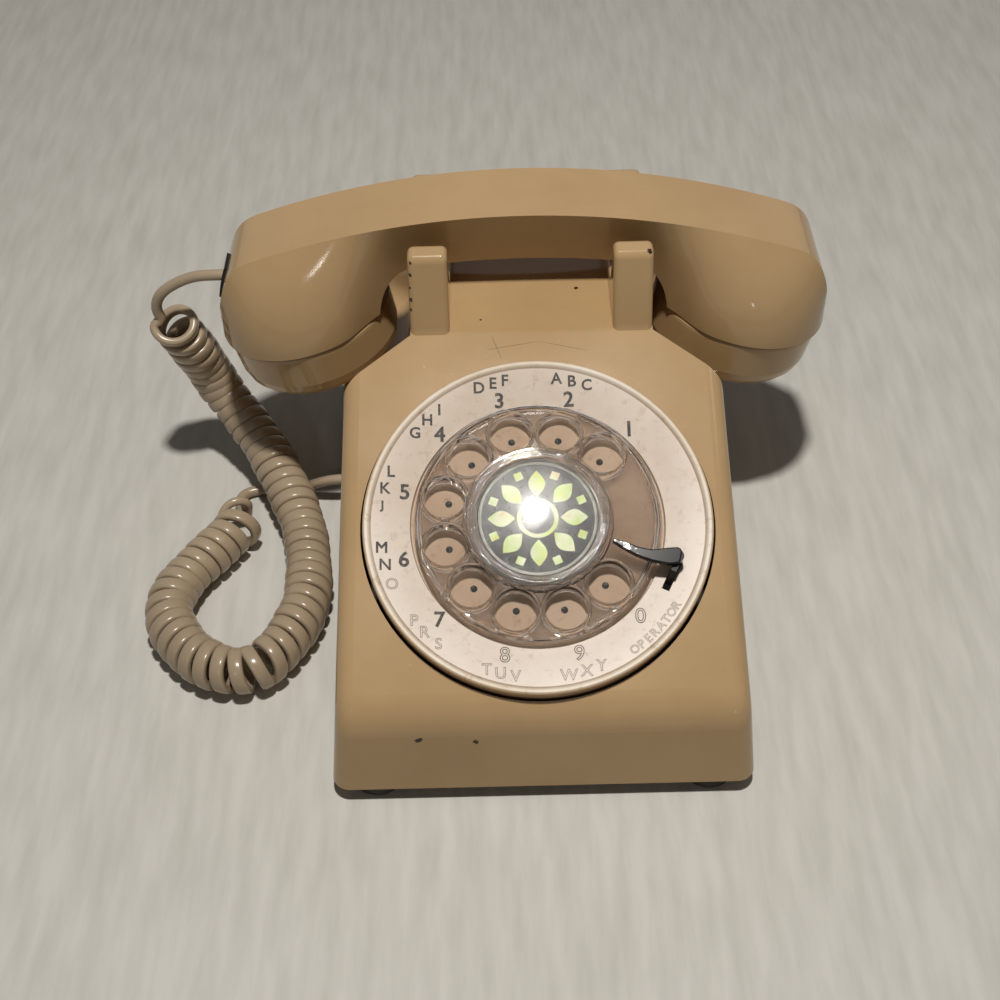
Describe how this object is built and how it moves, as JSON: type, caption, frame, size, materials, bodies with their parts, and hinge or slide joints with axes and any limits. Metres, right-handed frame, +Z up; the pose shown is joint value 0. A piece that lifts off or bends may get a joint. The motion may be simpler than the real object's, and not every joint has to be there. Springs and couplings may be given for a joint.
{
  "type": "rotary desk telephone",
  "caption": "Desk telephone with a rotary dial, clear finger wheel, handset lying across a four-eared cradle and a curly handset cord.",
  "frame": {"origin": "centre of the telephone without its cord, on the plane of the feet", "axes": "+X to the right of someone facing the dial, +Y to the back, +Z up"},
  "size_m": [0.2502, 0.2216, 0.1247],
  "materials": {
    "housing_plastic": "gloss, slightly worn",
    "plate_plastic": "satin",
    "clear_plastic": "clear",
    "card": "foil",
    "cord_vinyl": "satin",
    "black_steel": "worn black",
    "steel": "plated",
    "brass": "plain",
    "rubber": "matte",
    "bakelite": "matte",
    "copper": "enamelled wire",
    "grey_paint": "matte",
    "gong_brass": "polished",
    "white_plastic": "plain"
  },
  "bodies": {
    "set_body": {"housing": "housing_plastic", "number_plate": "plate_plastic", "governor_drum": "steel", "dial_frame": "steel", "finger_stop": "black_steel", "return_spring": "steel", "pulse_springs": "brass", "pulse_block": "bakelite", "base_plate": "grey_paint", "feet": "rubber", "housing_screws": "steel", "dial_brackets": "steel", "dial_screws": "steel", "hook_bracket": "steel", "hook_pin": "steel", "hook_spring": "steel", "hook_contact_block": "bakelite", "hook_contact_leaves": "brass", "base_rivets": "steel", "ringer_frame": "steel", "gong_front": "gong_brass", "gong_rear": "gong_brass", "gong_posts": "steel", "ringer_core": "steel", "ringer_bobbin": "bakelite", "ringer_winding": "copper", "ringer_magnet": "grey_paint", "ringer_strap": "steel", "network_can": "grey_paint", "network_board": "bakelite", "terminal_screws": "brass", "cord_coil": "cord_vinyl", "cord_tail_base": "cord_vinyl", "cord_relief_base": "rubber"},
    "handset": {"handset_handle": "housing_plastic", "transmitter_cap": "housing_plastic", "receiver_cap": "housing_plastic", "receiver_unit": "grey_paint", "handset_contacts": "brass", "transmitter_cup": "bakelite", "transmitter_unit": "grey_paint", "cord_stay_handset": "black_steel", "cord_tail_handset": "cord_vinyl"},
    "dial_wheel": {"finger_wheel": "clear_plastic", "card_holder": "steel", "centre_card": "card", "card_cover": "clear_plastic", "main_shaft": "steel", "main_gear": "brass"},
    "pulse_pinion_set": {"pulse_pinion": "brass", "pulse_cam": "white_plastic", "governor_gear": "brass"},
    "governor": {"governor_shaft": "steel", "governor_weights": "brass"},
    "plunger_left": {"hook_plunger_left": "white_plastic"},
    "plunger_right": {"hook_plunger_right": "white_plastic"},
    "hook_lever_body": {"hook_lever": "steel"},
    "hammer": {"ringer_hammer": "steel"},
    "loudness": {"volume_wheel": "bakelite"}
  },
  "joints": [
    {"name": "handset_lift", "type": "slide", "parent": "set_body", "child": "handset", "axis": [0, 0, 1], "range_m": [0, 0.12]},
    {"name": "dial_turn", "type": "hinge", "parent": "set_body", "child": "dial_wheel", "pos_m": [0.0022, -0.05015, 0.064], "axis": [0, 0.4337, -0.9011], "range_deg": [0, 318], "stiffness_Nm_per_rad": 0.004, "springref_deg": -114.59},
    {"name": "pulse_pinion_spin", "type": "hinge", "parent": "set_body", "child": "pulse_pinion_set", "pos_m": [-0.01225, -0.0675, 0.04233], "axis": [0, 0.4337, -0.9011], "range_deg": [-1590, 0]},
    {"name": "governor_spin", "type": "hinge", "parent": "set_body", "child": "governor", "pos_m": [-0.02684, -0.06398, 0.04403], "axis": [0, 0.4337, -0.9011], "range_deg": [0, 6360]},
    {"name": "plunger_left_slide", "type": "slide", "parent": "set_body", "child": "plunger_left", "axis": [0, 0, 1], "range_m": [0, 0.006]},
    {"name": "plunger_right_slide", "type": "slide", "parent": "set_body", "child": "plunger_right", "axis": [0, 0, 1], "range_m": [0, 0.006]},
    {"name": "hook_lever_turn", "type": "hinge", "parent": "set_body", "child": "hook_lever_body", "pos_m": [0.0022, 0.02585, 0.079], "axis": [1, 0, 0], "range_deg": [0, 15.2]},
    {"name": "hammer_swing", "type": "hinge", "parent": "set_body", "child": "hammer", "pos_m": [0.0222, 0.04975, 0.0175], "axis": [0, 0, 1], "range_deg": [-3.9, 3.9], "stiffness_Nm_per_rad": 0.002},
    {"name": "loudness_turn", "type": "hinge", "parent": "set_body", "child": "loudness", "pos_m": [0.0602, 0.04985, 0.005], "axis": [0, 0, 1], "range_deg": [0, 120]}
  ],
  "couplings": [
    {"joint": "pulse_pinion_spin", "follows": "dial_turn", "ratio": -5},
    {"joint": "governor_spin", "follows": "dial_turn", "ratio": 20},
    {"joint": "plunger_left_slide", "follows": "handset_lift", "ratio": 0.05},
    {"joint": "plunger_right_slide", "follows": "handset_lift", "ratio": 0.05},
    {"joint": "hook_lever_turn", "follows": "handset_lift", "rad_per_m": 2.2107}
  ]
}
